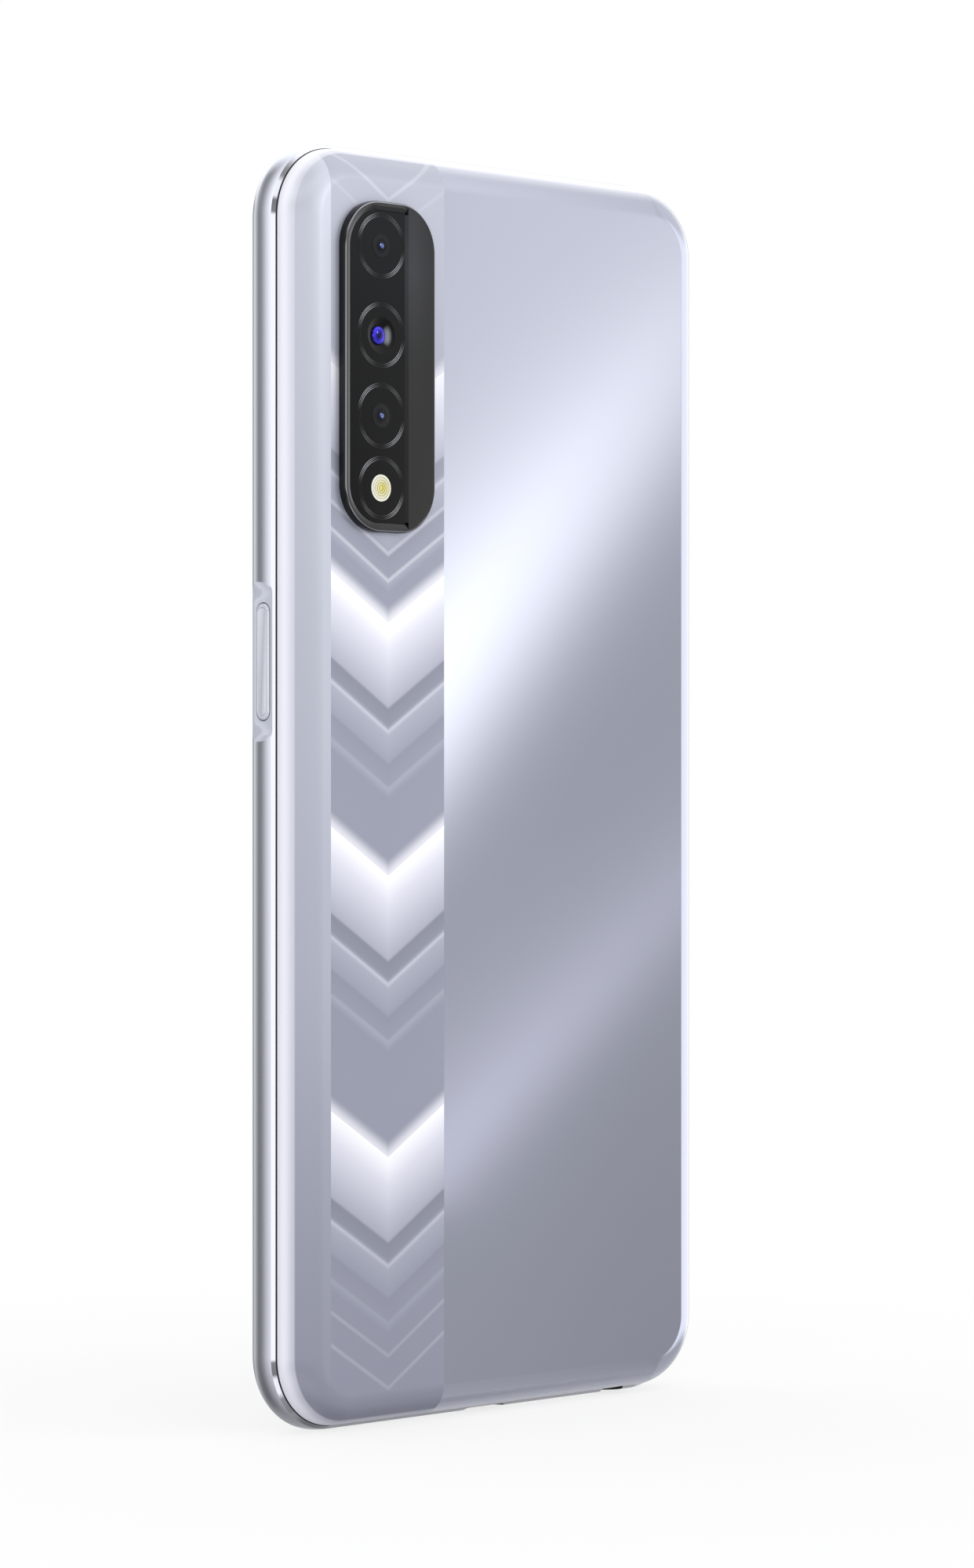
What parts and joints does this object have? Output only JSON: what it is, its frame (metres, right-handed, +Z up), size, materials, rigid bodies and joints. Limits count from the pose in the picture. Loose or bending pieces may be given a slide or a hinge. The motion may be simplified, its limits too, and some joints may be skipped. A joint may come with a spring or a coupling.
{
  "type": "smartphone",
  "caption": "Slim slab phone with curved back, side key in a flat cut, raised camera island, card tray, charging and audio ports.",
  "frame": {"origin": "middle of the bottom edge, halfway through the body's thickness", "axes": "+Z up along the long side, -Y out of the screen, +Y out of the back, +X to the right when looking at the screen"},
  "size_m": [0.0758, 0.0103, 0.1623],
  "materials": {
    "frame_plastic": "silver pearl lacquer on moulded plastic",
    "cover_plastic": "silver pearl film under clear gloss",
    "key_plastic": "silver lacquer",
    "sensor_coating": "silver coating",
    "cover_glass": "black printed glass",
    "display_black": "dark display cell",
    "backlight_white": "white reflector",
    "black_tape": "matte",
    "bezel_black": "glossy black",
    "window_glass": "black backed glass",
    "flash_lens_clear": "clear ribbed lens",
    "led_yellow": "phosphor",
    "camera_black": "black anodised",
    "lens_glass": "coated glass",
    "chassis_alloy": "cast magnesium alloy, dull",
    "steel_sheet": "stamped sheet",
    "gold_spring": "gold plated spring sheet",
    "dark_mesh": "fine woven mesh",
    "seal_rubber": "matte",
    "board_green": "solder resist",
    "connector_black": "moulded",
    "inner_plastic": "moulded glass-filled plastic",
    "battery_film": "black pouch film",
    "flex_amber": "polyimide film",
    "graphite": "graphite film"
  },
  "bodies": {
    "phone_body": {"side_frame": "frame_plastic", "chassis_plate": "chassis_alloy", "back_cover": "cover_plastic", "display_glass": "cover_glass", "glass_tape": "black_tape", "display_cell": "display_black", "backlight_unit": "backlight_white", "camera_bezel": "bezel_black", "camera_window": "window_glass", "flash_lens": "flash_lens_clear", "flash_led": "led_yellow", "main_camera": "camera_black", "main_lens": "lens_glass", "top_camera": "camera_black", "top_lens": "lens_glass", "low_camera": "camera_black", "low_lens": "lens_glass", "front_camera": "camera_black", "earpiece_speaker": "inner_plastic", "earpiece_mesh": "dark_mesh", "distance_sensor": "connector_black", "power_switch": "gold_spring", "volume_switches": "gold_spring", "sim_reader": "steel_sheet", "sim_ejector": "steel_sheet", "main_board": "board_green", "shield_cans": "steel_sheet", "board_connectors": "connector_black", "board_cover": "inner_plastic", "bottom_board": "board_green", "bottom_cover": "inner_plastic", "usb_port": "steel_sheet", "usb_gasket": "seal_rubber", "headphone_jack": "inner_plastic", "speaker_box": "inner_plastic", "speaker_mesh": "dark_mesh", "vibration_motor": "steel_sheet", "bottom_microphone": "gold_spring", "top_microphone": "gold_spring", "battery": "battery_film", "battery_flex": "flex_amber", "main_flex": "flex_amber", "display_flex": "flex_amber", "antenna_cable": "seal_rubber", "cover_screws": "steel_sheet", "heat_sheet": "graphite"},
    "power_key": {"power_button": "key_plastic", "fingerprint_sensor": "sensor_coating"},
    "volume_up_key": {"volume_up_button": "key_plastic"},
    "volume_down_key": {"volume_down_button": "key_plastic"},
    "card_tray": {"sim_tray": "key_plastic", "sim_tray_seal": "seal_rubber"}
  },
  "joints": [
    {"name": "power_press", "type": "slide", "parent": "phone_body", "child": "power_key", "axis": [-1, 0, 0], "range_m": [0, 0.00025], "stiffness_N_per_m": 2000, "springref_m": -0.0005},
    {"name": "volume_up_press", "type": "slide", "parent": "phone_body", "child": "volume_up_key", "axis": [1, 0, 0], "range_m": [0, 0.00025], "stiffness_N_per_m": 2000, "springref_m": -0.0005},
    {"name": "volume_down_press", "type": "slide", "parent": "phone_body", "child": "volume_down_key", "axis": [1, 0, 0], "range_m": [0, 0.00025], "stiffness_N_per_m": 2000, "springref_m": -0.0005},
    {"name": "card_tray_slide", "type": "slide", "parent": "phone_body", "child": "card_tray", "axis": [-1, 0, 0], "range_m": [0, 0.04]}
  ]
}
